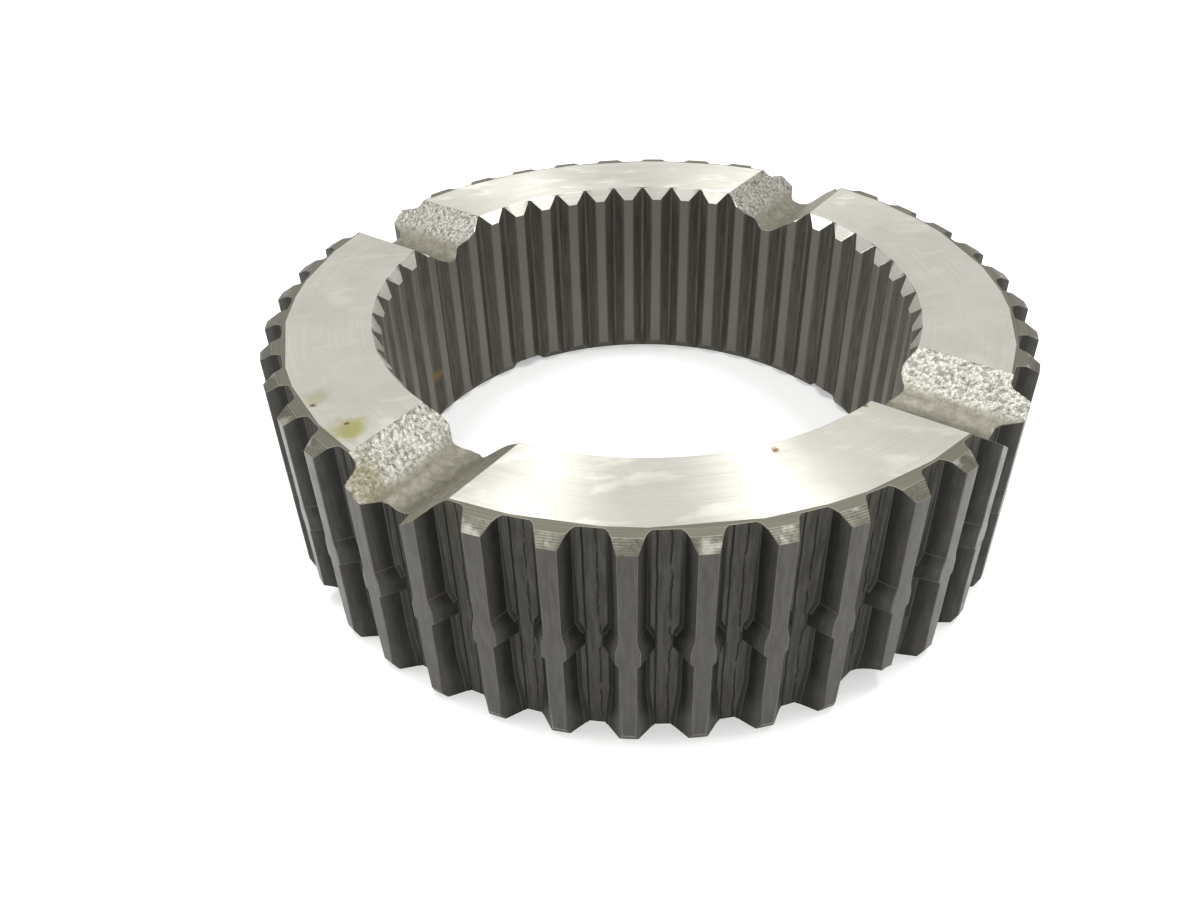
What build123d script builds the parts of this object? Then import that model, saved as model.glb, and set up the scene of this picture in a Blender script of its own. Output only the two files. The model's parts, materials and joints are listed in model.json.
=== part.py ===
from build123d import *
import os
from math import asin, atan, cos, degrees, radians, sin, tan

# A one-piece sliding clutch ring, in millimetres. Its axis is Z, its underside lies at Z 0, and
# X runs along one of the four notches of its top face.

# Size over the teeth and overall height
outer_diameter = 130.0
height = 38.4

# Outer teeth: straight flanks on a flat root strip
outer_teeth = 40
outer_tooth_depth = 3.55
outer_land = 3.48
outer_root_strip = 2.3

# Relief of the outer flanks, cut from both ends. Its flanks are steeper than the full ones, so
# it widens the root strip too, up to a slanted corner. It stops at a pad, where the tooth keeps
# its full width. Above the pad it tapers back.
relief_flank_angle = 25.0
relief_corner_width = 0.6317
relief_corner_height = 0.5
relief_at_top = 0.38
relief_above_pad = 0.5
relief_below_pad = 0.52
pad_level = 16.9
pad_length = 2.4
pad_ramp = 2.0
pad_step = 0.5

# Foot of the outer teeth, where the flanks turn wider, from the edge of the root strip
foot_length = 8.0
foot_flank_angle = 43.0

# Ends of the outer teeth: a nearly level shoulder and a lead-in above, one lead-in below
face_margin = 0.35
shoulder_width = 1.85
shoulder_drop = 0.2
upper_lead_in_height = 1.15
lower_lead_in = 0.8
lower_lead_in_height = 1.8

# Inner spline: V-shaped gaps between narrow lands, with a lead-in at each mouth of the bore.
# The wall is the metal between the roots of the outer teeth and those of the inner ones.
inner_teeth = 48
wall_thickness = 14.8
inner_tooth_depth = 1.35
inner_land = 1.67
inner_root_strip = 0.5
mouth_margin = 0.05
mouth_height = 2.2

# Notches across the top face: two equal slopes that meet in a rounded bottom
notch_count = 4
notch_width = 18.4
notch_slope = 37.0
notch_bottom_radius = 4.0

# Notches in the underside. Each stands a quarter of the notch spacing before a top notch, has
# the same slopes, and gets shallower from the rim towards the bore.
foot_notch_rim_depth = 4.3
foot_notch_bore_depth = 2.0

# How far a cutting solid reaches past what it cuts
reach = 0.5

# Radii that follow from the sizes above
tip_radius = outer_diameter / 2
root_radius = tip_radius - outer_tooth_depth
face_radius = root_radius - face_margin
shoulder_radius = face_radius + shoulder_width
foot_radius = tip_radius - lower_lead_in
inner_root_radius = root_radius - wall_thickness
inner_tip_radius = inner_root_radius - inner_tooth_depth
mouth_radius = inner_root_radius + mouth_margin


def ring_blank():
    """The turned ring, with its shoulder and lead-ins, before any tooth or notch is cut."""
    section = Polyline(
        (inner_tip_radius, mouth_height),
        (mouth_radius, 0),
        (foot_radius, 0),
        (tip_radius, lower_lead_in_height),
        (tip_radius, height - shoulder_drop - upper_lead_in_height),
        (shoulder_radius, height - shoulder_drop),
        (face_radius, height),
        (mouth_radius, height),
        (inner_tip_radius, height - mouth_height),
        close=True,
    )
    return revolve(make_face(Plane.XZ * section), Axis.Z)


def slot_outline(stations):
    """A face square to Z, symmetric about X. A station is a distance from the axis and a half width."""
    one_side = [(distance, -half_width) for distance, half_width in stations]
    other_side = [(distance, half_width) for distance, half_width in reversed(stations)]
    return make_face(Polyline(*one_side, *other_side, close=True))


def around(solid, count):
    """Copies of a solid at equal angles around the ring's axis."""
    return [Rot(0, 0, 360 / count * turn) * solid for turn in range(count)]


# Middle of a gap to the edge of the tooth's full-width land, measured square to the gap
pitch_angle = 360 / outer_teeth
land_edge_angle = pitch_angle / 2 - degrees(asin(outer_land / outer_diameter))
land_edge = tip_radius * sin(radians(land_edge_angle))
land_edge_radius = tip_radius * cos(radians(land_edge_angle))

# How much half an outer gap widens for each millimetre outwards
outer_gap_widening = (land_edge - outer_root_strip / 2) / (land_edge_radius - root_radius)


def gap_half_width(distance):
    """Half the width of an outer gap between full-width flanks, at a distance from the axis."""
    return outer_root_strip / 2 + (distance - root_radius) * outer_gap_widening


def relieved_half_width(distance, relief):
    """Half the width of an outer gap between relieved flanks. The relief is measured at the land."""
    return land_edge + relief + (distance - land_edge_radius) * tan(radians(relief_flank_angle))


def outer_gap():
    """The slot between two full-width teeth, through the whole height."""
    far = tip_radius + reach
    floor = slot_outline([(root_radius, outer_root_strip / 2), (far, gap_half_width(far))])
    return extrude(Pos(0, 0, -reach) * floor, height + 2 * reach)


# Distances from the axis at which every section of a relief cut has a corner
relief_distances = (root_radius, root_radius + relief_corner_height, tip_radius + reach)

# Middle of a gap to the edge of its widened root strip, inside the slanted corner above the pad
strip_edge = relieved_half_width(relief_distances[1], relief_above_pad) - relief_corner_width


def relief_cut(level, relief, corner_half_width, far_half_width):
    """Section of a relief cut. Its slanted corner has the direction that the full relief gives it, so
    the corner stays flat where the cut runs out at the pad and at the foot."""
    floor, corner, far = relief_distances
    corner_run = relieved_half_width(corner, relief) - strip_edge
    stations = [(floor, corner_half_width - corner_run), (corner, corner_half_width), (far, far_half_width)]
    return Pos(0, 0, level) * slot_outline(stations)


def pad_section(level, relief):
    """Section where a relief cut meets the pad: its flanks lie on the full-width ones."""
    corner, far = relief_distances[1:]
    return relief_cut(level, relief, gap_half_width(corner), gap_half_width(far))


def relief_section(level, relief):
    """Section with the whole relief: the widened strip, the slanted corner and the relieved flank."""
    corner, far = relief_distances[1:]
    return relief_cut(level, relief, relieved_half_width(corner, relief), relieved_half_width(far, relief))


def foot_section(level, relief):
    """Section at the underside: its flanks open outwards from the edge of the root strip."""
    widening = tan(radians(foot_flank_angle))
    corner, far = [outer_root_strip / 2 + (d - root_radius) * widening for d in relief_distances[1:]]
    return relief_cut(level, relief, corner, far)


def upper_relief():
    """Relief from the pad to the top: a ramp away from the pad, then the back taper."""
    pad_top = pad_level + pad_length
    sections = [
        pad_section(pad_top, relief_above_pad),
        relief_section(pad_top + pad_ramp, relief_above_pad),
        relief_section(height + reach, relief_at_top),
    ]
    return loft(sections, ruled=True)


def lower_relief():
    """Relief from the underside to the pad: the foot, then full relief up to a short step."""
    sections = [
        foot_section(-reach, relief_below_pad),
        relief_section(foot_length, relief_below_pad),
        relief_section(pad_level - pad_step, relief_below_pad),
        pad_section(pad_level, relief_below_pad),
    ]
    return loft(sections, ruled=True)


def inner_gap():
    """One V-shaped gap of the inner spline, through the whole height."""
    edge_angle = 180 / inner_teeth - degrees(asin(inner_land / 2 / inner_tip_radius))
    edge_radius = inner_tip_radius * cos(radians(edge_angle))
    edge = inner_tip_radius * sin(radians(edge_angle))
    near = edge_radius - reach
    widening = (edge - inner_root_strip / 2) / (inner_root_radius - edge_radius)
    stations = [(near, edge + reach * widening), (inner_root_radius, inner_root_strip / 2)]
    return extrude(Pos(0, 0, -reach) * slot_outline(stations), height + 2 * reach)


slope = radians(notch_slope)
notch_depth = notch_width / 2 * tan(slope) - notch_bottom_radius * (1 / cos(slope) - 1)


def valley(plane, rise):
    """Section of a notch on a plane: lowest point at the plane's origin, open along its Y."""
    side = notch_bottom_radius * sin(slope)
    foot = notch_bottom_radius * (1 - cos(slope))
    brim = side + (rise - foot) / tan(slope)
    bottom = ThreePointArc((-side, foot), (0, 0), (side, foot))
    sides = Polyline((side, foot), (brim, rise), (-brim, rise), (-side, foot))
    return plane * make_face(bottom + sides)


def top_notch():
    """One notch of the top face, straight and level from the bore to the rim."""
    start = inner_tip_radius - 4 * reach
    plane = Plane(origin=(start, 0, height - notch_depth), x_dir=(0, 1, 0), z_dir=(1, 0, 0))
    return extrude(valley(plane, notch_depth + reach), tip_radius + reach - start)


def foot_notch():
    """One notch of the underside: its roof falls from the rim towards the bore."""
    run = tip_radius - inner_tip_radius
    fall = (foot_notch_rim_depth - foot_notch_bore_depth) / run
    start = inner_tip_radius - 4 * reach
    direction = Vector(1, 0, fall)
    origin = (start, 0, foot_notch_bore_depth - 4 * reach * fall)
    plane = Plane(origin=origin, x_dir=(0, -1, 0), z_dir=direction)
    length = (tip_radius + 4 * reach - start) * direction.length
    return extrude(valley(plane, foot_notch_rim_depth + 4 * reach), length)


half_pitch = Rot(0, 0, 180 / inner_teeth)
quarter_spacing = Rot(0, 0, -90 / notch_count)

clutch_ring = ring_blank()
clutch_ring -= around(outer_gap(), outer_teeth)
clutch_ring -= around(upper_relief(), outer_teeth)
clutch_ring -= around(lower_relief(), outer_teeth)
clutch_ring -= [half_pitch * gap for gap in around(inner_gap(), inner_teeth)]
clutch_ring -= around(top_notch(), notch_count)
clutch_ring -= [quarter_spacing * notch for notch in around(foot_notch(), notch_count)]

os.makedirs("parts", exist_ok=True)
export_step(clutch_ring, "parts/clutch_ring.step")
print("solids", len(clutch_ring.solids()), "volume", round(clutch_ring.volume))
flank_angle = degrees(atan(outer_gap_widening))
print("notch depth %.2f, full flank %.1f degrees" % (notch_depth, flank_angle))
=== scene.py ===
# %% [markdown]
# # A splined clutch ring
# The object is one piece of steel: a ring with teeth outside and inside, and four notches
# across its top face. The solid's form is already exact. What makes the real one look real is
# its surface: turned faces that shine in fans, dark teeth as the forming tool left them, and
# notch slopes as rough as a casting. This lesson dresses the solid in those surfaces.

import json
from math import cos, radians, sin, tan, tau

import bmesh
import bpy
from mathutils import Matrix, Vector, noise

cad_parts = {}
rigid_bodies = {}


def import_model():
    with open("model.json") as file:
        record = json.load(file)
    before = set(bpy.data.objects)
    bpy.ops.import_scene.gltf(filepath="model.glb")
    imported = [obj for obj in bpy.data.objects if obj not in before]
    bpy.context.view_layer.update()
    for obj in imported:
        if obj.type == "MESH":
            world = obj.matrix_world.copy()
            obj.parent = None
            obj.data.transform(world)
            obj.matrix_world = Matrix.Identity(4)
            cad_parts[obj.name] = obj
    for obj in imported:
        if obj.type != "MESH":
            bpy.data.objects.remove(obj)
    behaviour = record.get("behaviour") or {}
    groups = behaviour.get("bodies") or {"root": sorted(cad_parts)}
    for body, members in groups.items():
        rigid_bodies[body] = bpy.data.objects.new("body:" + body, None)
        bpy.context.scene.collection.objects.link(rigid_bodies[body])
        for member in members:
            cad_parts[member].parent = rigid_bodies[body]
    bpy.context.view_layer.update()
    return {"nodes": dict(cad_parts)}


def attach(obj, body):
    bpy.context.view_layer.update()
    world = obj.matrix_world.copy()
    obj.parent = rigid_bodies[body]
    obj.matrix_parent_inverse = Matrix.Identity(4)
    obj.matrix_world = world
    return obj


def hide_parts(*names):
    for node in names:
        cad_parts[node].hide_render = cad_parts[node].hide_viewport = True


for leftover in list(bpy.data.objects):
    bpy.data.objects.remove(leftover)

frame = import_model()
solid = frame["nodes"]["clutch_ring"]
MM = 0.001

# %% [markdown]
# ## The sizes that the surfaces depend on
# A surface is recognised by where it lies, so a few of the ring's sizes are needed here. They
# could be measured on the mesh, but a named size says what it is. They are the real ones, in
# millimetres.

# %% Sizes of the ring
HEIGHT = 38.4
TIP_RADIUS = 65.0
ROOT_RADIUS = 61.45
INNER_ROOT_RADIUS = 46.65
TEETH = 40
PAD_LEVEL = 16.9
NOTCH_HALF_WIDTH = 9.2
NOTCH_SLOPE = radians(37.0)
NOTCH_BOTTOM_RADIUS = 4.0
rounding_loss = NOTCH_BOTTOM_RADIUS * (1 / cos(NOTCH_SLOPE) - 1)
NOTCH_DEPTH = NOTCH_HALF_WIDTH * tan(NOTCH_SLOPE) - rounding_loss
# The notches lie along +X, +Y, -X and -Y. The rough slope is on this side of each one's middle.
ROUGH_SIDE = {0: 1, 90: 1, 180: -1, 270: -1}
print("notch depth, mm:", round(NOTCH_DEPTH, 2))

# %% [markdown]
# ## A clean copy of the mesh
# The solid comes as loose triangles. To round its edges, Blender has to know which triangles
# form one flat face, so the copy is welded and its flat regions are merged. Rebuilding the ring
# from scratch would work too, but it could drift from the real sizes. Tiny edges are closed up,
# since a rounded edge can't pass them.

# %% Weld and merge the flat faces
WELD = 0.002 * MM
SAME_FACE = radians(0.6)
TINY_EDGE = 0.06 * MM
mesh = bmesh.new()
mesh.from_mesh(solid.data)
bmesh.ops.remove_doubles(mesh, verts=mesh.verts, dist=WELD)
bmesh.ops.dissolve_limit(mesh, angle_limit=SAME_FACE, verts=mesh.verts, edges=mesh.edges)
bmesh.ops.remove_doubles(mesh, verts=mesh.verts, dist=TINY_EDGE)


def open_edges():
    return sum(not e.is_manifold for e in mesh.edges)


print("clean copy:", len(mesh.faces), "faces, open edges:", open_edges())

# %% [markdown]
# ## Finding the notches
# A real ring is marked out from its axis, and so is this one. A point belongs to a notch when
# it lies far enough out along that notch's direction and near enough to its middle. Painting
# the faces by hand would also do, but it would have to be done again for another size.

# %% Find the notch of a point
BORE_SIDE = 30
NOTCH_MARGIN = 0.1


def along_and_across(point, turn):
    """Distance of a point (mm) along a notch at this turn, and sideways from its middle."""
    a = radians(turn)
    return point.x * cos(a) + point.y * sin(a), point.y * cos(a) - point.x * sin(a)


def notch_of(point):
    """The turn of the top notch whose slopes this point lies on, and its sideways place."""
    for turn in ROUGH_SIDE:
        along, across = along_and_across(point, turn)
        if along > BORE_SIDE and abs(across) < NOTCH_HALF_WIDTH + NOTCH_MARGIN:
            return turn, across
    return None, 0


print("a point 60 mm out on +Y is in the notch at", notch_of(Vector((0, 60, 35)))[0])

# %% [markdown]
# ## Telling the surfaces apart
# Each face belongs to one finish. Its slope and its place say which: a level face at the top is
# the turned face, a sloped one near the tips is the lead-in, and so on. The number is kept on
# the face as its material, so later steps that split faces pass it on.

# %% Name the surface of each face
FINISHES = ["turned_face", "shoulder", "lead_in", "teeth", "root_strip", "inner_spline",
            "rough_slope", "smooth_slope"]
# How level a face is: 1 is level, 0 is a wall
LEVEL_END = 0.9999
LEVEL_SHOULDER = 0.97
LEVEL_NOTCH_BOTTOM = 0.93
LEVEL_NOTCH_SIDE = 0.7
LEVEL_LEAD_IN = 0.6
LEVEL_MOUTH = 0.3
LEVEL_WALL = 0.2
SLOPE_SPREAD = 0.02
# How near to its ideal place a face lies, in millimetres
NEAR_END = 0.05
NEAR_SLOPE = 0.2
NEAR_STRIP = 0.25
NEAR_BORE = 0.3
ROUGH_FROM = 2.3


def on_notch_slope(centre, level, radius):
    """Whether a face in a notch is one of its slopes or its bottom, and not a cut tooth."""
    if centre.z <= HEIGHT - NOTCH_DEPTH - NOTCH_MARGIN or level <= LEVEL_NOTCH_SIDE:
        return False
    as_steep = abs(level - cos(NOTCH_SLOPE)) < SLOPE_SPREAD
    return radius < ROOT_RADIUS + NEAR_SLOPE or as_steep or level > LEVEL_NOTCH_BOTTOM


def finish_of(face):
    """The name of the finish that a face of the ring has."""
    centre = face.calc_center_median() / MM
    level = face.normal.z
    radius = centre.xy.length
    turn, across = notch_of(centre)
    if abs(level) > LEVEL_END and not NEAR_END < centre.z < HEIGHT - NEAR_END:
        return "turned_face"
    if turn is not None and on_notch_slope(centre, level, radius):
        return "rough_slope" if across * ROUGH_SIDE[turn] > ROUGH_FROM else "smooth_slope"
    if level > LEVEL_SHOULDER:
        return "shoulder"
    if level > LEVEL_LEAD_IN and radius > ROOT_RADIUS:
        return "lead_in"
    if radius < INNER_ROOT_RADIUS + NEAR_BORE:
        return "turned_face" if level > LEVEL_MOUTH else "inner_spline"
    if abs(level) < LEVEL_WALL and radius < ROOT_RADIUS + NEAR_STRIP:
        return "root_strip"
    return "teeth"


mesh.normal_update()
for face in mesh.faces:
    face.material_index = FINISHES.index(finish_of(face))
for index, name in enumerate(FINISHES):
    print(name, "has", sum(f.material_index == index for f in mesh.faces), "faces")

# %% [markdown]
# ## Rounding the edges
# No machined edge is perfectly sharp: it catches the light as a thin bright line. A bevel
# modifier could do it, but here each rounded face also has to be marked as worn, so it is done
# on the mesh: a tenth of a millimetre along each sharp edge. The rough slopes are left out,
# because their edges are about to be broken up in another way.

# %% Round the sharp edges
EDGE_ROUNDING = 0.1 * MM
SHORTEST_EDGE = 2.2 * EDGE_ROUNDING
SHARP = radians(18)
ROUGH = FINISHES.index("rough_slope")
SMOOTH = FINISHES.index("smooth_slope")


def to_round(edge):
    if not edge.is_manifold or edge.calc_length() < SHORTEST_EDGE:
        return False
    if any(f.material_index == ROUGH for f in edge.link_faces):
        return False
    return edge.calc_face_angle() > SHARP


worn = mesh.faces.layers.float.new("worn_edge")
grain_mark = mesh.verts.layers.float.new("grain")
sharp_edges = [e for e in mesh.edges if to_round(e)]
rounded = bmesh.ops.bevel(mesh, geom=sharp_edges, offset=EDGE_ROUNDING, offset_type="OFFSET",
                          segments=2, profile=0.5, affect="EDGES", clamp_overlap=False,
                          material=-1)
for face in rounded["faces"]:
    face[worn] = 1.0
print("rounded", len(sharp_edges), "edges, open edges:", open_edges())

# %% [markdown]
# ## Keeping to the ring's height
# The end of a rounding can run a little past the end faces of the ring. A real ring has been
# faced off flat there. So each corner that is past an end face is set back onto it.

# %% Set corners back onto the end faces
VISIBLE = 0.005 * MM
past = [v for v in mesh.verts if max(-v.co.z, v.co.z - HEIGHT * MM) > VISIBLE]
for vert in mesh.verts:
    vert.co.z = min(max(vert.co.z, 0), HEIGHT * MM)
print("corners set back onto the end faces:", len(past))

# %% [markdown]
# ## A grid for the rough slopes
# One slope of each notch is rough and sparkles like a casting. Bump alone would leave its
# outline straight, so the slope gets real grains, and for those it needs a fine grid. Dividing
# its faces would give long thin pieces. Cutting them with evenly spaced planes gives squares.

# %% Cut the rough slopes into a grid
GRAIN_GRID = 0.24
SLOPE_START = 2.4
FIRST_CUT = 43.0
CUT_TOLERANCE = 1e-7


def cut_by_planes(faces, direction, first, last, step):
    """Cuts the faces by parallel planes, and gives back the faces that result."""
    place = first
    while place < last:
        parts = set(faces)
        parts.update(v for f in faces for v in f.verts)
        parts.update(e for f in faces for e in f.edges)
        cut = bmesh.ops.bisect_plane(mesh, geom=list(parts), dist=CUT_TOLERANCE,
                                     plane_co=direction * place * MM, plane_no=direction)
        faces = [g for g in cut["geom"] if isinstance(g, bmesh.types.BMFace)]
        place += step
    return faces


def notch_faces(turn, finish):
    """The faces of one finish in the notch at this turn."""
    return [f for f in mesh.faces if f.material_index == finish
            and notch_of(f.calc_center_median() / MM)[0] == turn]


slopes = {}
for turn, side in ROUGH_SIDE.items():
    a = radians(turn)
    along = Vector((cos(a), sin(a), 0))
    across = Vector((-sin(a), cos(a), 0)) * side
    found = cut_by_planes(notch_faces(turn, ROUGH), across, SLOPE_START, NOTCH_HALF_WIDTH,
                          GRAIN_GRID * cos(NOTCH_SLOPE))
    # The smooth faces beside them are cut along with them. Left whole, they showed a dark line.
    found += notch_faces(turn, SMOOTH)
    found = cut_by_planes(found, along, FIRST_CUT, TIP_RADIUS, GRAIN_GRID)
    slopes[turn] = ([f for f in found if f.material_index == ROUGH], across)
    print("rough slope at", turn, "has", len(slopes[turn][0]), "faces")

# %% [markdown]
# ## The grains
# On the real slope the grains are packed humps of mixed sizes. Cell noise gives such humps: it
# is the distance to the nearest of many scattered points. Each crossing of the grid moves up or
# down by it, along the height only, which keeps it in the tooth walls that it borders. On the
# edge to the turned face it moves sideways instead, so that the edge is ragged and the face
# stays flat. Near the notch's bottom the grains fade out.

# %% Raise the grains
GRAIN_HEIGHT = 0.15
GRAIN_SIZE = 0.52
SMALL_GRAIN_SIZE = 0.45
SWELL_SIZE = 2.5
FADE_START = 2.6
FADE_WIDTH = 1.6
TOP_EDGE = 0.02
TOP_MARGIN = 0.03
RAGGED_SHARE = 0.9


def grain(point):
    """How high the grains stand at a point (mm), in grain heights: two sizes on a slow swell."""
    place = Vector((point.x, point.y, point.z * 0.5))
    hump = noise.voronoi(place / GRAIN_SIZE)[0][0]
    small = noise.voronoi(place / (GRAIN_SIZE * SMALL_GRAIN_SIZE) + Vector((7, 3, 1)))[0][0]
    slow = noise.noise(place / SWELL_SIZE)
    return 0.8 - 1.6 * hump + 0.6 * (0.5 - small) + 0.15 * slow


lifts = []
for turn, (faces, across) in slopes.items():
    for vert in {v for f in faces for v in f.verts}:
        point = vert.co / MM
        out = point.dot(across)
        fade = min(1, max(0, (out - FADE_START) / FADE_WIDTH))
        vert[grain_mark] = grain(point)
        lift = GRAIN_HEIGHT * fade * vert[grain_mark]
        lifts.append(lift)
        if point.z > HEIGHT - TOP_EDGE:
            vert.co += across * (RAGGED_SHARE * lift * MM)
        else:
            vert.co.z += min(lift, HEIGHT - TOP_MARGIN - point.z) * MM
print("grains reach from %.2f to %.2f mm" % (min(lifts), max(lifts)))

# %% [markdown]
# ## The dressed ring
# The finished mesh becomes one object, which stands in for the solid. Plain smooth shading
# would make the flat faces look bulged beside the roundings. Weighted normals follow the large
# faces, so only the roundings look round.

# %% Make the object
SHADED_SHARP = radians(50)
ring_mesh = bpy.data.meshes.new("clutch_ring_dressed")
mesh.to_mesh(ring_mesh)
mesh.free()
ring_mesh.polygons.foreach_set("use_smooth", [True] * len(ring_mesh.polygons))
ring_mesh.set_sharp_from_angle(angle=SHADED_SHARP)
ring = bpy.data.objects.new("clutch_ring_dressed", ring_mesh)
bpy.context.scene.collection.objects.link(ring)
flat_shading = ring.modifiers.new("flat faces stay flat", "WEIGHTED_NORMAL")
flat_shading.keep_sharp = True
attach(ring, "root")
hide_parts("clutch_ring")
ring_mesh.calc_loop_triangles()
print("triangles:", len(ring_mesh.loop_triangles))

# %% [markdown]
# ## Wiring for the finishes
# A finish is a material made of nodes. Wiring them one by one takes many lines, so a small
# helper does it: it joins nodes, sets their numbers, and keeps the sums readable.


# %% A helper that wires nodes
def is_socket(value):
    return isinstance(value, bpy.types.NodeSocket)


def as_colour(colour):
    """A colour is three numbers, or a socket that gives one."""
    return colour if is_socket(colour) else (*colour, 1)


class Wiring:
    """The nodes of one material."""

    def __init__(self, name):
        self.material = bpy.data.materials.new(name)
        self.material.use_nodes = True
        self.tree = self.material.node_tree
        self.tree.nodes.clear()
        self.surface = self.tree.nodes.new("ShaderNodeBsdfPrincipled")
        output = self.tree.nodes.new("ShaderNodeOutputMaterial")
        self.join(self.surface.outputs["BSDF"], output.inputs["Surface"])

    def join(self, source, target):
        self.tree.links.new(source, target)

    def feed(self, value, target):
        """Sets a socket to a number, or joins another socket to it."""
        if is_socket(value):
            self.join(value, target)
        else:
            target.default_value = value

    def node(self, kind, values):
        """A new node whose first sockets get these values."""
        node = self.tree.nodes.new(kind)
        for value, socket in zip(values, node.inputs):
            self.feed(value, socket)
        return node

    def math(self, operation, *values):
        node = self.node("ShaderNodeMath", values)
        node.operation = operation
        return node.outputs[0]

    def times(self, first, second):
        return self.math("MULTIPLY", first, second)

    def plus(self, first, second):
        return self.math("ADD", first, second)

    def minus(self, first, second):
        return self.math("SUBTRACT", first, second)

    def size_of(self, value):
        return self.math("ABSOLUTE", value)

    def vector(self, x, y, z):
        return self.node("ShaderNodeCombineXYZ", (x, y, z)).outputs[0]

    def between(self, value, low, high, to_low=0.0, to_high=1.0):
        """Stretches a value from one range to another, smoothly and without overshoot."""
        node = self.node("ShaderNodeMapRange", (value, low, high, to_low, to_high))
        node.interpolation_type = "SMOOTHSTEP"
        return node.outputs[0]

    def blend(self, share, first, second):
        """Mixes two colours: share 0 gives the first, 1 the second."""
        node = self.tree.nodes.new("ShaderNodeMix")
        node.data_type = "RGBA"
        self.feed(share, node.inputs[0])
        self.feed(as_colour(first), node.inputs[6])
        self.feed(as_colour(second), node.inputs[7])
        return node.outputs[2]


print("wiring can do:", [name for name in vars(Wiring) if not name.startswith("_")])

# %% [markdown]
# ## Patterns for the finishes
# The finishes could be pictures wrapped around the ring, but a pattern worked out from the
# place on the ring has no seams, and stays sharp from close up. Turned steel needs the distance
# from the axis and the angle around it, so each finish starts from those, in millimetres.

# %% A workbench with the ring's own patterns
NOISE_RANGE = (0.3, 0.7)
QUARTER_TURN = 0.25
finished = {}


class Bench(Wiring):
    """One finish under work, with its places in millimetres and turns."""

    def __init__(self, name):
        super().__init__(name)
        scale = self.tree.nodes.new("ShaderNodeVectorMath")
        scale.operation = "SCALE"
        self.join(self.tree.nodes.new("ShaderNodeTexCoord").outputs["Object"], scale.inputs[0])
        scale.inputs["Scale"].default_value = 1 / MM
        self.place = scale.outputs["Vector"]
        self.x, self.y, self.z = self.node("ShaderNodeSeparateXYZ", (self.place,)).outputs
        squares = self.plus(self.times(self.x, self.x), self.times(self.y, self.y))
        self.radius = self.math("SQRT", squares)
        self.angle = self.math("ARCTAN2", self.y, self.x)

    def noise(self, place, scale, detail=2.0, roughness=0.5):
        node = self.tree.nodes.new("ShaderNodeTexNoise")
        self.join(place, node.inputs["Vector"])
        node.inputs["Scale"].default_value = scale
        node.inputs["Detail"].default_value = detail
        node.inputs["Roughness"].default_value = roughness
        return node.outputs["Fac"]

    def streaks_around(self, per_mm, per_turn):
        """Noise drawn out around the axis, as a turning tool leaves it."""
        place = self.vector(self.times(self.radius, per_mm), self.times(self.angle, per_turn), 0.0)
        return self.noise(place, scale=1.0, detail=3, roughness=0.6)

    def streaks_down(self, across, down, roughness=0.6):
        """Noise drawn out along the height, as a forming tool leaves it."""
        place = self.vector(self.times(self.x, across), self.times(self.y, across),
                            self.times(self.z, down))
        return self.noise(place, scale=1.0, detail=4, roughness=roughness)

    def spot(self, x, y, z, size):
        """A soft ragged spot on the ring around a place (mm): 1 in its middle, 0 outside."""
        length = self.tree.nodes.new("ShaderNodeVectorMath")
        length.operation = "DISTANCE"
        self.join(self.place, length.inputs[0])
        length.inputs[1].default_value = (x, y, z)
        cloud = self.minus(self.noise(self.place, scale=1.2 / size, detail=4), 0.5)
        distance = self.plus(length.outputs["Value"], self.times(cloud, size * 1.6))
        return self.between(distance, size * 1.1, size * 0.3)

    def mark(self, name):
        """A value kept on the mesh: worn_edge is 1 on roundings, grain is the grains' height."""
        node = self.tree.nodes.new("ShaderNodeAttribute")
        node.attribute_name = name
        return node.outputs["Fac"]

    def worn_edges(self, share, tone, colour):
        """Rubs the rounded edges: blends this share of a colour over the tone there."""
        return self.blend(self.times(self.mark("worn_edge"), share), tone, colour)

    def bump(self, height, strength, distance):
        node = self.tree.nodes.new("ShaderNodeBump")
        node.inputs["Strength"].default_value = strength
        node.inputs["Distance"].default_value = distance * MM
        self.join(height, node.inputs["Height"])
        self.join(node.outputs["Normal"], self.surface.inputs["Normal"])

    def turned(self, strength):
        """Stretches the gloss across turning marks that run around the ring's axis."""
        around = self.tree.nodes.new("ShaderNodeTangent")
        around.direction_type = "RADIAL"
        around.axis = "Z"
        self.join(around.outputs["Tangent"], self.surface.inputs["Tangent"])
        self.surface.inputs["Anisotropic"].default_value = strength
        self.surface.inputs["Anisotropic Rotation"].default_value = QUARTER_TURN

    def finish(self, colour, roughness, metal):
        self.feed(as_colour(colour), self.surface.inputs["Base Color"])
        self.feed(roughness, self.surface.inputs["Roughness"])
        self.surface.inputs["Metallic"].default_value = metal
        finished[self.material.name] = self.material
        print(self.material.name, "is made of", len(self.tree.nodes), "nodes")


print("the bench adds:", [name for name in vars(Bench) if not name.startswith("_")])

# %% [markdown]
# ## The turned faces
# A lathe left fine rings on the top face. Light glances off them in two bright fans that point
# at the axis, which is what makes turned steel look turned. The rings are far too fine to
# model. A tangent that runs around the axis tells the gloss which way they lie, and so gives
# the fans from any side. Slow noise makes the steel duller here and there.

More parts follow.
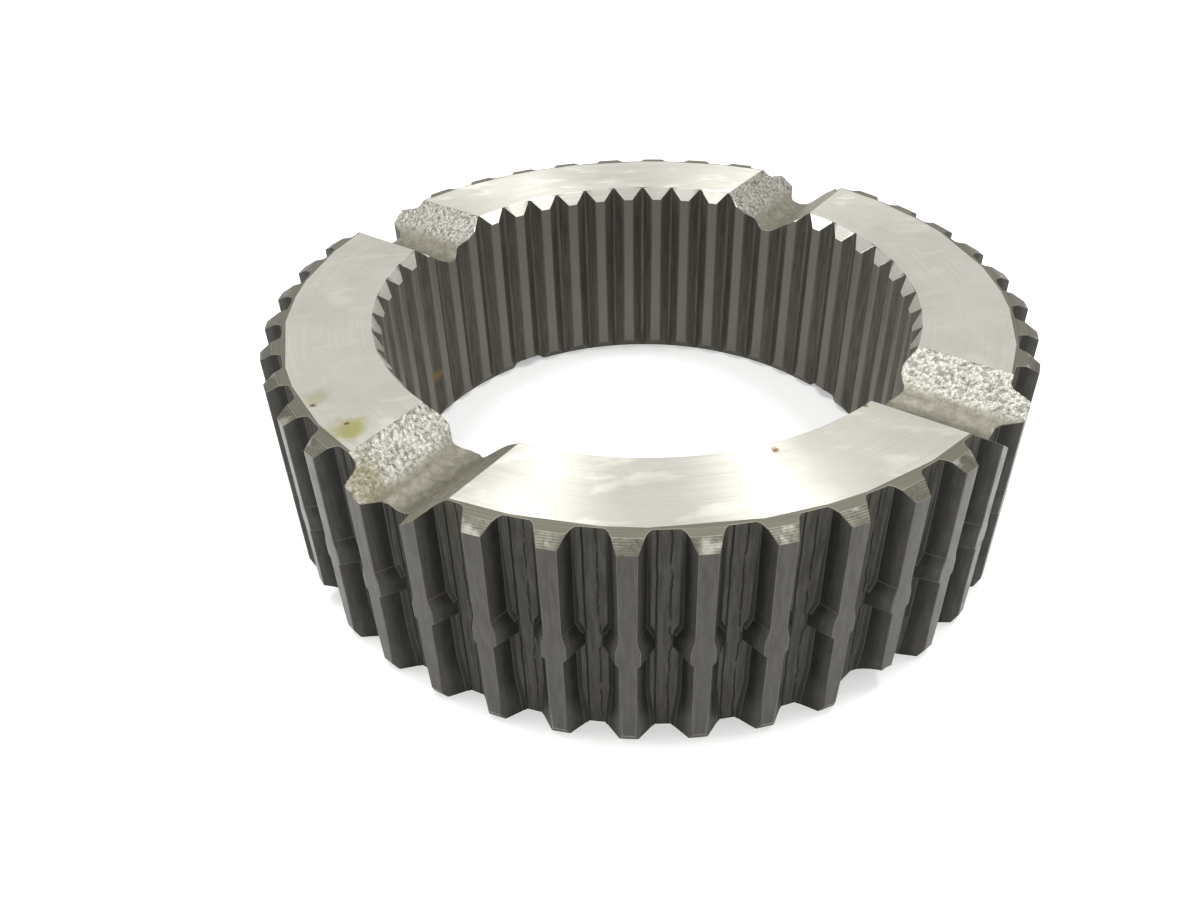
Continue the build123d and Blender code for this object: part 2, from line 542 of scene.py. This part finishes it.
# %% Turned steel
STEEL_DARK = (0.76, 0.745, 0.68)
STEEL_LIGHT = (0.86, 0.845, 0.785)
STEEL_DULL = (0.66, 0.635, 0.56)
STEEL_SMUDGED = (0.93, 0.91, 0.83)
top = Bench("turned_face")
rings = top.streaks_around(per_mm=5.0, per_turn=2.0)
cloud = top.noise(top.place, scale=0.09, detail=4, roughness=0.6)
smears = top.vector(top.times(top.plus(top.x, top.y), 0.07),
                    top.times(top.minus(top.x, top.y), 0.19), 0.0)
smudge = top.between(top.noise(smears, scale=1.0, detail=5, roughness=0.62), 0.53, 0.66)
steel = top.blend(top.between(rings, *NOISE_RANGE), STEEL_DARK, STEEL_LIGHT)
steel = top.blend(top.between(cloud, 0.35, 0.7, 0, 0.45), steel, STEEL_DULL)
steel = top.blend(top.times(smudge, 0.55), steel, STEEL_SMUDGED)
print("steel and smudges so far:", len(top.tree.nodes), "nodes")

# %% [markdown]
# ## Smudges, oil and rust
# A used ring has been handled. Pale smudges lie on the face, old oil has dried olive beside one
# notch, and a few dots of rust have started. Each is a soft spot at its own place, with a
# ragged border, because an even circle would look stamped.

# %% Smudges, oil and rust on the top face
PALE, PALE_SHARE = (0.96, 0.94, 0.85), 0.4
RUST, RUST_SHARE = (0.24, 0.11, 0.02), 0.9
PALE_PATCHES = ((26.7, -41.6, 6.0), (-43.2, -30.6, 5.0), (55.0, 8.0, 6.5))
OIL_STAINS = ((-13.4, -57.1, 3.4, 0.85, (0.50, 0.48, 0.15)),
              (-23.4, -54.0, 2.6, 0.5, (0.50, 0.50, 0.24)))
RUST_DOTS = ((39.7, -27.6, 0.8), (45.5, -10.8, 0.6), (-14.6, -56.0, 0.5), (-22.3, -55.6, 0.6))
for x, y, size in PALE_PATCHES:
    border = top.times(top.spot(x, y, HEIGHT, size), smudge)
    patch = top.plus(border, top.spot(x, y, HEIGHT, size * 0.6))
    steel = top.blend(top.times(patch, PALE_SHARE), steel, PALE)
for x, y, size, share, colour in OIL_STAINS:
    steel = top.blend(top.times(top.spot(x, y, HEIGHT, size), share), steel, colour)
for x, y, size in RUST_DOTS:
    steel = top.blend(top.times(top.spot(x, y, HEIGHT, size), RUST_SHARE), steel, RUST)
gloss = top.plus(top.between(rings, *NOISE_RANGE, 0.36, 0.42), top.times(smudge, 0.08))
top.bump(rings, strength=0.12, distance=0.02)
top.turned(0.9)
top.finish(steel, gloss, metal=1.0)

# %% [markdown]
# ## The shoulder
# Outside the top face runs a nearly level band. It was turned more coarsely, so it is darker
# and less glossy. The same recipe as for the top face serves, with coarser streaks.

# %% Shoulder
BAND_DARK = (0.17, 0.165, 0.13)
BAND_LIGHT = (0.24, 0.23, 0.185)
BAND_WORN = (0.42, 0.41, 0.35)
band = Bench("shoulder")
streaks = band.streaks_around(per_mm=6.0, per_turn=4.0)
tone = band.blend(band.between(streaks, *NOISE_RANGE), BAND_DARK, BAND_LIGHT)
tone = band.worn_edges(0.4, tone, BAND_WORN)
band.bump(streaks, strength=0.3, distance=0.03)
band.turned(0.4)
band.finish(tone, 0.5, metal=0.85)

# %% [markdown]
# ## The lead-ins
# The sloped ends of the teeth are grey, with bright worn patches, nicks, and feed ridges that
# still show here and there. A sine wave along the height gives the ridges, a fifth of a
# millimetre apart. As geometry they would cost many faces for little, so they are bump.

# %% Lead-in
RIDGE = 0.19
LEAD_LIGHT = (0.17, 0.165, 0.135)
LEAD_NICKED = (0.10, 0.097, 0.080)
LEAD_RIDGE = (0.34, 0.33, 0.28)
LEAD_BRIGHT = (0.50, 0.49, 0.43)
lead = Bench("lead_in")
wobble = lead.times(lead.noise(lead.place, scale=0.5), 0.06)
wave = lead.math("SINE", lead.times(lead.plus(lead.z, wobble), tau / RIDGE))
nicks = lead.noise(lead.place, scale=1.7, detail=4, roughness=0.65)
tone = lead.blend(lead.between(nicks, 0.35, 0.75), LEAD_LIGHT, LEAD_NICKED)
ridged = lead.between(lead.noise(lead.place, scale=0.28, detail=2), 0.45, 0.6)
tone = lead.blend(lead.times(lead.between(wave, -0.2, 1.0, 0, 0.45), ridged), tone, LEAD_RIDGE)
bright = lead.between(lead.noise(lead.place, scale=0.22, detail=3), 0.52, 0.62, 0, 0.6)
tone = lead.blend(bright, tone, LEAD_BRIGHT)
lead.bump(lead.plus(lead.times(wave, 0.5), lead.times(nicks, 0.5)), strength=0.35, distance=0.025)
lead.turned(0.5)
lead.finish(tone, 0.45, metal=1.0)

# %% [markdown]
# ## The teeth
# The teeth were formed and hardened, and never ground: dark grey-brown, matt, a little
# mottled. Deep in the gaps the flanks are painted near-black, a painted shade for the shadow
# there. The lands were rubbed by the sleeve, so they are lighter, and glossy enough to mirror
# the white room where they are seen at a shallow angle. One material can do it all, because the
# distance from the axis says what is what.

# %% Teeth
# The first pair is painted shade: deep in the gaps the flanks are near-black for the shadow there.
GAP_SHADE_DARK, GAP_SHADE_LIGHT = (0.012, 0.012, 0.010), (0.024, 0.023, 0.020)
OUTER_DARK, OUTER_LIGHT = (0.058, 0.055, 0.048), (0.082, 0.078, 0.068)
LAND_DARK, LAND_LIGHT = (0.050, 0.048, 0.041), (0.075, 0.072, 0.062)
TOOTH_BROWN = (0.050, 0.043, 0.030)
TOOTH_WORN = (0.17, 0.165, 0.145)
tooth = Bench("teeth")
drawn = tooth.streaks_down(across=1.6, down=0.25)
streak = tooth.between(drawn, *NOISE_RANGE)
mottle = tooth.noise(tooth.place, scale=0.35, detail=5, roughness=0.6)
# 0 deep in the gaps, where the painted shade lies, and 1 towards the tips.
out_of_gap_shade = tooth.between(tooth.radius, ROOT_RADIUS + 1.2, TIP_RADIUS - 0.4, 0, 0.85)
on_land = tooth.between(tooth.radius, TIP_RADIUS - 0.25, TIP_RADIUS - 0.1, 0, 0.8)
tone = tooth.blend(streak, GAP_SHADE_DARK, GAP_SHADE_LIGHT)
tone = tooth.blend(out_of_gap_shade, tone, tooth.blend(streak, OUTER_DARK, OUTER_LIGHT))
tone = tooth.blend(tooth.between(mottle, 0.45, 0.75, 0, 0.3), tone, TOOTH_BROWN)
tone = tooth.blend(on_land, tone, tooth.blend(streak, LAND_DARK, LAND_LIGHT))
tone = tooth.worn_edges(0.3, tone, TOOTH_WORN)
fine = tooth.noise(tooth.place, scale=3.0, detail=4, roughness=0.7)
tooth.bump(tooth.plus(fine, drawn), strength=0.35, distance=0.04)
gloss = tooth.between(mottle, *NOISE_RANGE, 0.5, 0.6)
tooth.finish(tone, tooth.minus(gloss, tooth.times(on_land, 0.3)), metal=0.5)

# %% [markdown]
# ## Dark lines on the root strips
# Between the outer teeth runs a flat strip. Thin dark wavy lines run down it, and one of them
# jogs sideways beside the pad. Grooves cut into the mesh would be finer than its faces, so the
# lines are colour and bump. No two strips are alike, so the line's way depends on the number of
# the gap.

# %% Dark lines
PAD_MIDDLE = PAD_LEVEL + 0.8
strip = Bench("root_strip")
pitch = tau / TEETH
offset = strip.math("WRAP", strip.angle, pitch / 2, -pitch / 2)
number = strip.math("ROUND", strip.math("DIVIDE", strip.angle, pitch))
sideways = strip.times(offset, ROOT_RADIUS)
wander = strip.noise(strip.vector(strip.times(number, 5.3), strip.times(strip.z, 0.22), 0.0),
                     scale=1.0, detail=5, roughness=0.65)
wander = strip.minus(wander, 0.5)
jog = strip.between(strip.size_of(strip.minus(strip.z, PAD_MIDDLE)), 2.0, 1.0, 0.0, 0.4)
patchy = strip.noise(strip.vector(number, strip.times(strip.z, 0.3), 5.0), scale=1.0)


def thin_dark(place, width, waviness):
    """A wavy dark line down the strip, this far from its middle: 1 on the line."""
    middle = strip.plus(strip.times(wander, waviness), place)
    return strip.between(strip.size_of(strip.minus(sideways, middle)), width, width * 0.3)


left_line = thin_dark(-1.15, 0.22, 0.45)
right_line = strip.times(thin_dark(strip.plus(jog, 0.75), 0.2, 1.2), strip.between(patchy, 0.3, 0.5))
lines = strip.math("MAXIMUM", left_line, strip.times(right_line, 0.9))
print("fold lines on", TEETH, "strips, one pitch is", round(pitch * ROOT_RADIUS, 2), "mm")

# %% [markdown]
# ## The root strips
# The strip itself is a little lighter than the flanks, with a grain that runs down it. Its
# specular level is set low on the shader, because in the picture the strips hardly shine.

# %% Root strips
STRIP_DARK, STRIP_LIGHT = (0.050, 0.047, 0.039), (0.085, 0.081, 0.069)
LINE_COLOUR = (0.006, 0.006, 0.005)
grainy = strip.streaks_down(across=1.5, down=0.2)
tone = strip.blend(strip.between(grainy, *NOISE_RANGE), STRIP_DARK, STRIP_LIGHT)
tone = strip.blend(strip.times(lines, 0.95), tone, LINE_COLOUR)
strip.surface.inputs["Specular IOR Level"].default_value = 0.25
strip.bump(strip.minus(strip.times(grainy, 0.5), lines), strength=0.6, distance=0.06)
strip.finish(tone, 0.55, metal=0.5)

# %% [markdown]
# ## The inner spline
# The inner teeth have the same dark skin, with lands rubbed by the shaft, so that they read as
# lighter stripes. The distance from the axis tells the lands from the gaps here too. One brown
# spot sits low on the wall.

# %% Inner spline
BORE_DARK, BORE_LIGHT = (0.066, 0.062, 0.050), (0.115, 0.109, 0.090)
BORE_LAND = (0.20, 0.19, 0.160)
BORE_WORN = (0.24, 0.23, 0.20)
BORE_BROWN = (0.22, 0.15, 0.05)
bore = Bench("inner_spline")
drawn = bore.streaks_down(across=2.0, down=0.15, roughness=0.65)
on_land = bore.between(bore.radius, INNER_ROOT_RADIUS - 1.0, INNER_ROOT_RADIUS - 1.3, 0, 0.75)
tone = bore.blend(bore.between(drawn, *NOISE_RANGE), BORE_DARK, BORE_LIGHT)
tone = bore.blend(on_land, tone, BORE_LAND)
tone = bore.worn_edges(0.2, tone, BORE_WORN)
tone = bore.blend(bore.times(bore.spot(-44.7, -8.9, 9.9, size=2.2), 0.8), tone, BORE_BROWN)
bore.bump(drawn, strength=0.3, distance=0.04)
bore.finish(tone, 0.5, metal=0.6)

# %% [markdown]
# ## The notch slopes
# The rough slope is bare bright metal, and its grains glint because each faces another way.
# Its colour adds painted light as well: grain tops and fine specks are painted bright, a painted
# glint, and the hollows between the grains dark, a painted shade.
# The grid gives the large grains, and bump gives the small facets on them. The bottom and the
# other slope are smoother and greyer. Both come from one recipe, so that they meet without a
# border. Old oil has browned the outer corner of one notch.

# %% Notch slopes
SLOPE_GREY, SLOPE_DARK = (0.330, 0.315, 0.255), (0.220, 0.210, 0.170)
# The grain colours are painted light: the low one is painted shade in the hollows, the high one a
# painted glint on the grain tops.
GRAIN_HOLLOW_SHADE, GRAIN_TOP_GLINT = (0.16, 0.153, 0.130), (0.78, 0.76, 0.69)
SLOPE_OIL = (0.17, 0.15, 0.055)


def slope_finish(name, roughened):
    """A slope of a notch. Roughened is 1 for the rough side, which fades to smooth at its foot."""
    work = Bench(name)
    sideways = work.math("MINIMUM", work.size_of(work.x), work.size_of(work.y))
    share = work.times(work.between(sideways, SLOPE_START, 2 * SLOPE_START), roughened)
    specks = work.noise(work.place, scale=0.9, detail=4, roughness=0.65)
    fine = work.noise(work.place, scale=4.2, detail=3, roughness=0.7)
    smooth_tone = work.blend(work.between(specks, *NOISE_RANGE), SLOPE_DARK, SLOPE_GREY)
    # Painted light: grain height and fine noise give a painted glint on the tops and a painted
    # shade in the hollows.
    grains = work.plus(work.mark("grain"), work.times(work.minus(fine, 0.5), 3.0))
    rough_tone_with_painted_glints = work.blend(work.between(grains, -1.0, 1.3), GRAIN_HOLLOW_SHADE, GRAIN_TOP_GLINT)
    tone = work.blend(share, smooth_tone, rough_tone_with_painted_glints)
    stain = work.times(work.spot(-6.5, -61.5, HEIGHT - 3, size=5.0), 0.55)
    tone = work.blend(stain, tone, SLOPE_OIL)
    work.bump(work.plus(fine, work.times(specks, 0.8)), 0.2 + 0.6 * roughened, distance=0.10)
    work.finish(tone, work.between(share, 0.0, 1.0, 0.55, 0.34), metal=0.9)


slope_finish("rough_slope", 1.0)
slope_finish("smooth_slope", 0.0)

# %% [markdown]
# ## Putting the finishes on
# Each face already carries the number of its finish. The materials only have to be added in
# the same order.

# %% Put the finishes on the ring
for name in FINISHES:
    ring_mesh.materials.append(finished[name])
print("finishes:", [m.name for m in ring_mesh.materials])

# %% [markdown]
# ## The floor
# The ring stands on white paper. A paper that is white in the picture would need more light
# than is good for steel, so the camera, and the steel that mirrors the paper, see it a little
# brighter than the lamps make it. Its shadow stays.

# %% Floor
HALF_FLOOR = 3.0
PAPER = 0.86
PAPER_LIFT = 0.40
UNDER_THE_RING = 0.02 * MM
corners = [(-1, -1), (1, -1), (1, 1), (-1, 1)]
floor_mesh = bpy.data.meshes.new("floor")
floor_mesh.from_pydata([(x * HALF_FLOOR, y * HALF_FLOOR, 0) for x, y in corners], [],
                       [(0, 1, 2, 3)])
floor = bpy.data.objects.new("floor", floor_mesh)
bpy.context.scene.collection.objects.link(floor)
floor.location.z = -UNDER_THE_RING
paper = bpy.data.materials.new("paper")
paper.use_nodes = True
nodes, links = paper.node_tree.nodes, paper.node_tree.links
nodes.clear()
matt = nodes.new("ShaderNodeBsdfDiffuse")
matt.inputs["Color"].default_value = (PAPER, PAPER, PAPER, 1)
lift = nodes.new("ShaderNodeEmission")
lift.inputs["Strength"].default_value = PAPER_LIFT
nothing = nodes.new("ShaderNodeEmission")
nothing.inputs["Strength"].default_value = 0.0
seen = nodes.new("ShaderNodeLightPath")
either = nodes.new("ShaderNodeMath")
either.operation = "MAXIMUM"
links.new(seen.outputs["Is Camera Ray"], either.inputs[0])
links.new(seen.outputs["Is Glossy Ray"], either.inputs[1])
choice = nodes.new("ShaderNodeMixShader")
for number, source in enumerate((either, nothing, lift)):
    links.new(source.outputs[0], choice.inputs[number])
total = nodes.new("ShaderNodeAddShader")
for number, source in enumerate((matt, choice)):
    links.new(source.outputs[0], total.inputs[number])
out = nodes.new("ShaderNodeOutputMaterial")
links.new(total.outputs[0], out.inputs["Surface"])
floor_mesh.materials.append(paper)
print("paper, m:", 2 * HALF_FLOOR, "square")

# %% [markdown]
# ## The sky
# The picture was taken under a bright soft ceiling. One large lamp could stand for it, but an
# even sky lights all sides alike. The camera sees plain white instead of it, as behind the real
# ring.

# %% Sky
ROOM_LEVEL = 0.76
ROOM_COLOUR = (1.0, 0.99, 0.97, 1)
WHITE = (1, 1, 1, 1)
world = bpy.data.worlds.new("soft room")
bpy.context.scene.world = world
world.use_nodes = True
nodes, links = world.node_tree.nodes, world.node_tree.links
nodes.clear()
room = nodes.new("ShaderNodeBackground")
room.inputs["Color"].default_value = ROOM_COLOUR
room.inputs["Strength"].default_value = ROOM_LEVEL
white = nodes.new("ShaderNodeBackground")
white.inputs["Color"].default_value = WHITE
white.inputs["Strength"].default_value = 1.0
seen = nodes.new("ShaderNodeLightPath")
choice = nodes.new("ShaderNodeMixShader")
links.new(seen.outputs["Is Camera Ray"], choice.inputs[0])
links.new(room.outputs[0], choice.inputs[1])
links.new(white.outputs[0], choice.inputs[2])
out = nodes.new("ShaderNodeOutputWorld")
links.new(choice.outputs[0], out.inputs["Surface"])
print("room level:", ROOM_LEVEL)

# %% [markdown]
# ## The lamps
# Two soft lamps overhead, one to each side of the camera's view, draw the two pairs of fans on
# the turned face: a fan shows where the rings mirror a lamp. Two more stand low on the left and
# the right. They light the lands that face sideways, and leave the gaps at the front dark.

# %% Lamps
VIEW_TURN = Matrix.Rotation(radians(36.342), 3, "Z")
LAMP_DISTANCE = 1.6


def lamp(name, direction, size, power):
    """A square soft lamp that points at the ring. In its direction, +Y is away from the camera."""
    data = bpy.data.lights.new(name, "AREA")
    data.size = size
    data.energy = power
    thing = bpy.data.objects.new(name, data)
    bpy.context.scene.collection.objects.link(thing)
    thing.location = VIEW_TURN @ (Vector(direction).normalized() * LAMP_DISTANCE)
    thing.rotation_mode = "QUATERNION"
    thing.rotation_quaternion = (-thing.location).to_track_quat("-Z", "Y")
    print(name, "at", [round(v, 2) for v in thing.location])


lamp("lamp_left", (-0.28, 0.05, 0.96), size=0.30, power=6.5)
lamp("lamp_right", (0.34, 0.06, 0.95), size=0.30, power=6.5)
lamp("side_lamp_left", (-0.96, -0.10, 0.22), size=0.60, power=9.0)
lamp("side_lamp_right", (0.96, -0.20, 0.22), size=0.60, power=6.0)

# %% [markdown]
# ## The camera
# The lens and the place were worked out from the picture: the teeth are evenly spaced, so
# where their tips fall tells the tilt, the distance and the lens. The axes are written as if
# the camera looked along +Y, and then turned around the ring's axis.

# %% Camera
FOCAL_PIXELS = 1010.36
PICTURE_WIDTH = 1200
CAMERA_PLACE = (0.085721, -0.130733, 0.122598)
tilt = radians(37.087)
roll = radians(-1.6713)
right = Vector((1, 0, 0))
down = Vector((0, -sin(tilt), -cos(tilt)))
ahead = Vector((0, cos(tilt), -sin(tilt)))
image_right = right * cos(roll) - down * sin(roll)
image_down = right * sin(roll) + down * cos(roll)
axes = VIEW_TURN @ Matrix((image_right, -image_down, -ahead)).transposed()
lens = bpy.data.cameras.new("camera")
lens.sensor_width = 36.0
lens.lens = FOCAL_PIXELS / PICTURE_WIDTH * lens.sensor_width
lens.clip_start = 0.01
camera = bpy.data.objects.new("camera", lens)
bpy.context.scene.collection.objects.link(camera)
camera.matrix_world = Matrix.Translation(CAMERA_PLACE) @ axes.to_4x4()
bpy.context.scene.camera = camera
print("lens, mm:", round(lens.lens, 2))

# %% [markdown]
# ## Colours
# Colours go to the picture as they are.

# %% Finish
bpy.context.scene.view_settings.view_transform = "Standard"
